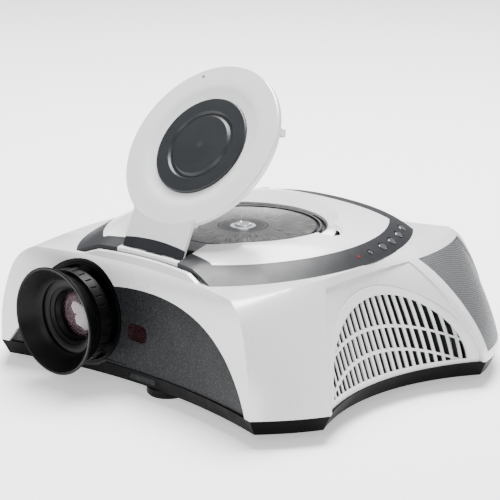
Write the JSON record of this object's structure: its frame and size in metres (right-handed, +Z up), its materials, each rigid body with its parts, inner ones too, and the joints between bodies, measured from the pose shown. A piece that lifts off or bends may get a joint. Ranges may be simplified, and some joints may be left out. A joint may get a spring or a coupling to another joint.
{
  "type": "projector with disc player",
  "caption": "Domed four-legged video projector with a top-loading disc player under a round flip-up lid.",
  "frame": {"origin": "middle of the whole part's footprint, on the surface its feet stand on", "axes": "+Z up, the lens looks along -Y, the keys are on the +X side"},
  "size_m": [0.377, 0.32, 0.2434],
  "materials": {
    "black": "satin",
    "board_green": "matt",
    "brass": "satin",
    "clear_glass": "polished",
    "dark_grey": "satin",
    "disc_mirror": "mirror",
    "grey_band": "satin",
    "grille_grey": "satin",
    "key_silver": "satin",
    "light_metal": "cast",
    "mesh_grey": "matt",
    "power_red": "gloss",
    "red_window": "gloss",
    "rubber": "matt",
    "silver": "satin",
    "steel": "brushed",
    "well_grey": "satin",
    "white_deck": "gloss",
    "white_gloss": "gloss"
  },
  "bodies": {
    "housing": {"upper_cover": "white_gloss", "base_tray": "dark_grey", "rear_feet": "rubber", "lamp_door": "dark_grey", "front_panel": "dark_grey", "remote_window": "red_window", "lens_cup": "black", "lens_barrel": "black", "front_glass": "clear_glass", "deck_band": "grey_band", "keypad_board": "board_green", "power_led": "power_red", "deck_cover": "white_deck", "disc_well": "well_grey", "drive_chassis": "steel", "guide_rods": "steel", "spindle_motor": "steel", "hinge_pin": "steel", "hinge_block": "black", "vent_right": "grille_grey", "vent_left": "grille_grey", "speaker_mesh_right": "mesh_grey", "speaker_mesh_left": "mesh_grey", "speaker_drivers": "black", "base_screws": "steel", "rear_panel": "dark_grey", "av_jacks": "brass", "socket_board": "board_green", "video_port": "black", "mains_inlet": "black", "light_engine": "light_metal", "lamp_housing": "light_metal", "lamp_reflector": "clear_glass", "lamp_bulb": "clear_glass", "fan_frames": "black", "main_board": "board_green", "power_supply": "board_green"},
    "lid": {"lid_shell": "white_gloss", "lid_plate": "dark_grey", "lid_liner": "black", "lid_hook": "black", "arm_trim": "grey_band"},
    "turntable": {"turntable": "silver", "disc": "disc_mirror"},
    "pickup": {"pickup_sled": "black", "pickup_lens": "clear_glass"},
    "focus": {"focus_ring": "black", "lens_hood": "black"},
    "zoom": {"zoom_ring": "black"},
    "foot": {"elevator_foot": "black", "foot_pad": "rubber"},
    "button": {"foot_button": "dark_grey"},
    "wheel": {"colour_wheel": "clear_glass"},
    "fan_right": {"fan_rotor_right": "black"},
    "fan_left": {"fan_rotor_left": "black"},
    "key_1": {"key_1": "key_silver"},
    "key_2": {"key_2": "key_silver"},
    "key_3": {"key_3": "key_silver"},
    "key_4": {"key_4": "key_silver"},
    "key_5": {"key_5": "key_silver"}
  },
  "joints": [
    {"name": "lid_hinge", "type": "hinge", "parent": "housing", "child": "lid", "pos_m": [0, -0.104, 0.1095], "axis": [1, 0, 0], "range_deg": [-51.1, 0]},
    {"name": "disc_spin", "type": "hinge", "parent": "housing", "child": "turntable", "pos_m": [0, -0.004, 0.105], "axis": [0, 0, 1], "continuous": true},
    {"name": "pickup_slide", "type": "slide", "parent": "housing", "child": "pickup", "axis": [1, 0, 0], "range_m": [0, 0.025]},
    {"name": "focus_turn", "type": "hinge", "parent": "housing", "child": "focus", "pos_m": [-0.0586, -0.139, 0.0566], "axis": [0, 1, 0], "range_deg": [-40, 40]},
    {"name": "zoom_turn", "type": "hinge", "parent": "housing", "child": "zoom", "pos_m": [-0.0586, -0.1318, 0.0566], "axis": [0, 1, 0], "range_deg": [-15, 15]},
    {"name": "foot_lift", "type": "slide", "parent": "housing", "child": "foot", "axis": [0, 0, -1], "range_m": [0, 0.018]},
    {"name": "foot_release", "type": "slide", "parent": "housing", "child": "button", "axis": [0, 1, 0], "range_m": [0, 0.0015], "stiffness_N_per_m": 600},
    {"name": "wheel_spin", "type": "hinge", "parent": "housing", "child": "wheel", "pos_m": [0.05, 0.052, 0.039], "axis": [1, 0, 0], "continuous": true},
    {"name": "right_fan_spin", "type": "hinge", "parent": "housing", "child": "fan_right", "pos_m": [0.114, -0.016, 0.0405], "axis": [1, 0, 0], "continuous": true},
    {"name": "left_fan_spin", "type": "hinge", "parent": "housing", "child": "fan_left", "pos_m": [-0.114, -0.016, 0.0405], "axis": [1, 0, 0], "continuous": true},
    {"name": "key_1_press", "type": "slide", "parent": "housing", "child": "key_1", "axis": [-0.5586, -0.0564, -0.8275], "range_m": [0, 0.0006], "stiffness_N_per_m": 250},
    {"name": "key_2_press", "type": "slide", "parent": "housing", "child": "key_2", "axis": [-0.5373, -0.1183, -0.8351], "range_m": [0, 0.0006], "stiffness_N_per_m": 250},
    {"name": "key_3_press", "type": "slide", "parent": "housing", "child": "key_3", "axis": [-0.5043, -0.1725, -0.8461], "range_m": [0, 0.0006], "stiffness_N_per_m": 250},
    {"name": "key_4_press", "type": "slide", "parent": "housing", "child": "key_4", "axis": [-0.4547, -0.2263, -0.8614], "range_m": [0, 0.0006], "stiffness_N_per_m": 250},
    {"name": "key_5_press", "type": "slide", "parent": "housing", "child": "key_5", "axis": [-0.3941, -0.2717, -0.878], "range_m": [0, 0.0006], "stiffness_N_per_m": 250}
  ]
}
